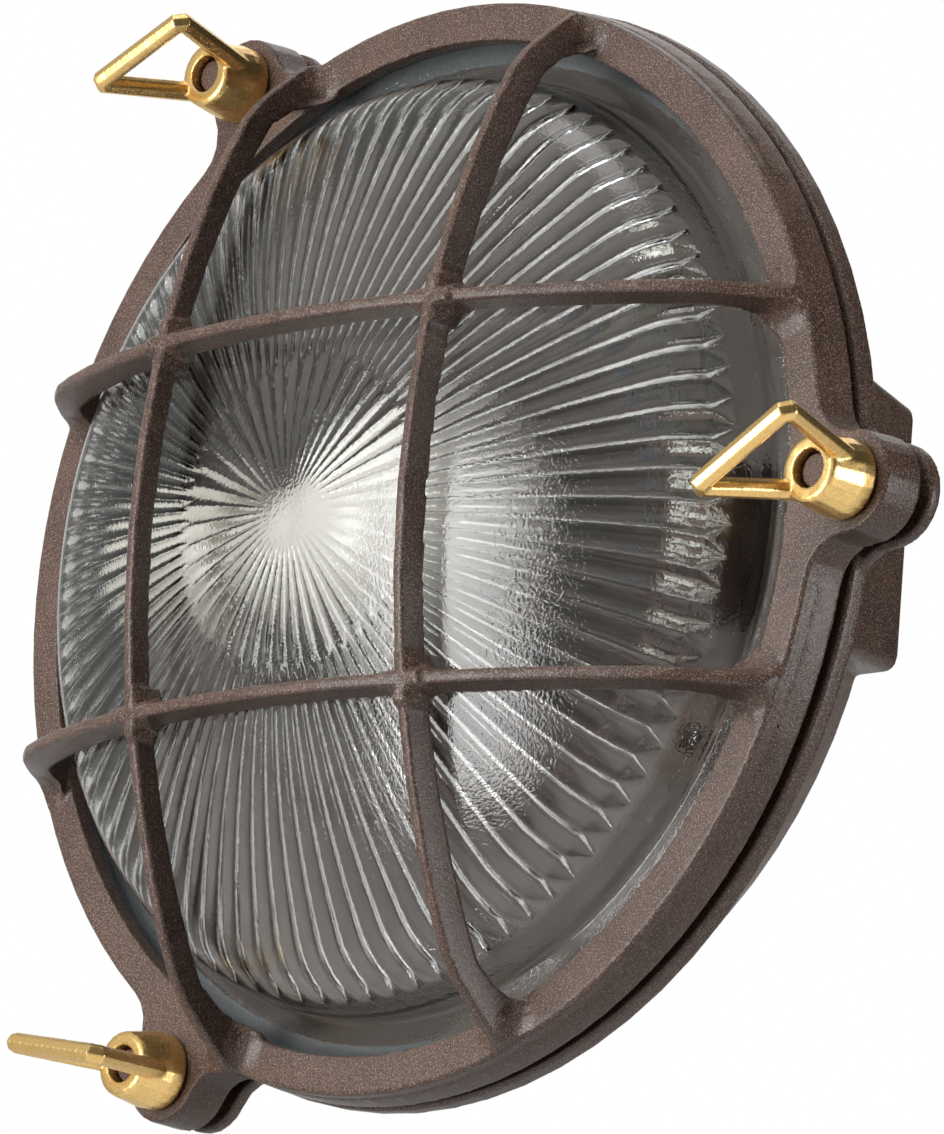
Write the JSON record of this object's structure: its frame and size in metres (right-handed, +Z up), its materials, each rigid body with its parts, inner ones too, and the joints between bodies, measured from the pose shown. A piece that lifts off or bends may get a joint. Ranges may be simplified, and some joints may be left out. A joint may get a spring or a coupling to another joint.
{
  "type": "bulkhead light",
  "caption": "Round cast bulkhead light: a wall housing, a fluted glass lens under a crossed-bar guard held by loop nuts on studs, with lamp, holder and terminals inside.",
  "frame": {"origin": "centre of the housing's back face, on the wall", "axes": "-Y out of the wall to the front, +Z up, +X towards the lug at three o'clock"},
  "size_m": [0.2751, 0.0856, 0.256],
  "materials": {
    "brown_powder_coat": "powder-coated casting, leathery texture",
    "cast_brass": "cast and lightly polished",
    "pressed_glass": "clear, pressed, fluted inside",
    "black_rubber": "matte moulded rubber",
    "opal_glass": "white opal glass",
    "white_porcelain": "glazed porcelain",
    "dark_phenolic": "moulded phenolic",
    "galvanised_steel": "galvanised sheet steel",
    "zinc_plated_steel": "zinc-plated screws",
    "brown_insulation": "flexible insulation",
    "blue_insulation": "flexible insulation",
    "green_insulation": "flexible insulation"
  },
  "bodies": {
    "housing": {"rear_housing": "brown_powder_coat", "stud_1": "brown_powder_coat", "stud_2": "brown_powder_coat", "stud_3": "brown_powder_coat", "lampholder_shell": "cast_brass", "centre_contact": "cast_brass", "terminal_pole_1": "cast_brass", "terminal_pole_2": "cast_brass", "terminal_pole_3": "cast_brass", "earth_washer": "cast_brass", "earth_screw": "cast_brass", "cable_grommet": "black_rubber", "lampholder_body": "white_porcelain", "terminal_block": "dark_phenolic", "holder_bracket": "galvanised_steel", "bracket_screw_1": "zinc_plated_steel", "bracket_screw_2": "zinc_plated_steel", "holder_screw_1": "zinc_plated_steel", "holder_screw_2": "zinc_plated_steel", "block_screw_1": "zinc_plated_steel", "block_screw_2": "zinc_plated_steel", "wire_live": "brown_insulation", "wire_neutral": "blue_insulation", "wire_earth": "green_insulation"},
    "cover": {"front_guard": "brown_powder_coat", "glass_lens": "pressed_glass", "lens_gasket": "black_rubber"},
    "nut_1": {"wing_nut_1": "cast_brass"},
    "nut_2": {"wing_nut_2": "cast_brass"},
    "nut_3": {"wing_nut_3": "cast_brass"},
    "lamp": {"lamp": "opal_glass"}
  },
  "joints": [
    {"name": "cover_slide", "type": "slide", "parent": "housing", "child": "cover", "axis": [0, -1, 0], "range_m": [0, 0.0205]},
    {"name": "nut_1_turn", "type": "hinge", "parent": "cover", "child": "nut_1", "pos_m": [0.1341, -0.045, 0], "axis": [0, -1, 0], "range_deg": [0, 2940]},
    {"name": "nut_2_turn", "type": "hinge", "parent": "cover", "child": "nut_2", "pos_m": [-0.06705, -0.045, 0.11613], "axis": [0, -1, 0], "range_deg": [0, 2940]},
    {"name": "nut_3_turn", "type": "hinge", "parent": "cover", "child": "nut_3", "pos_m": [-0.06705, -0.045, -0.11613], "axis": [0, -1, 0], "range_deg": [0, 2940]},
    {"name": "lamp_turn", "type": "hinge", "parent": "housing", "child": "lamp", "pos_m": [0, -0.038, 0], "axis": [1, 0, 0], "range_deg": [0, 1080]}
  ]
}
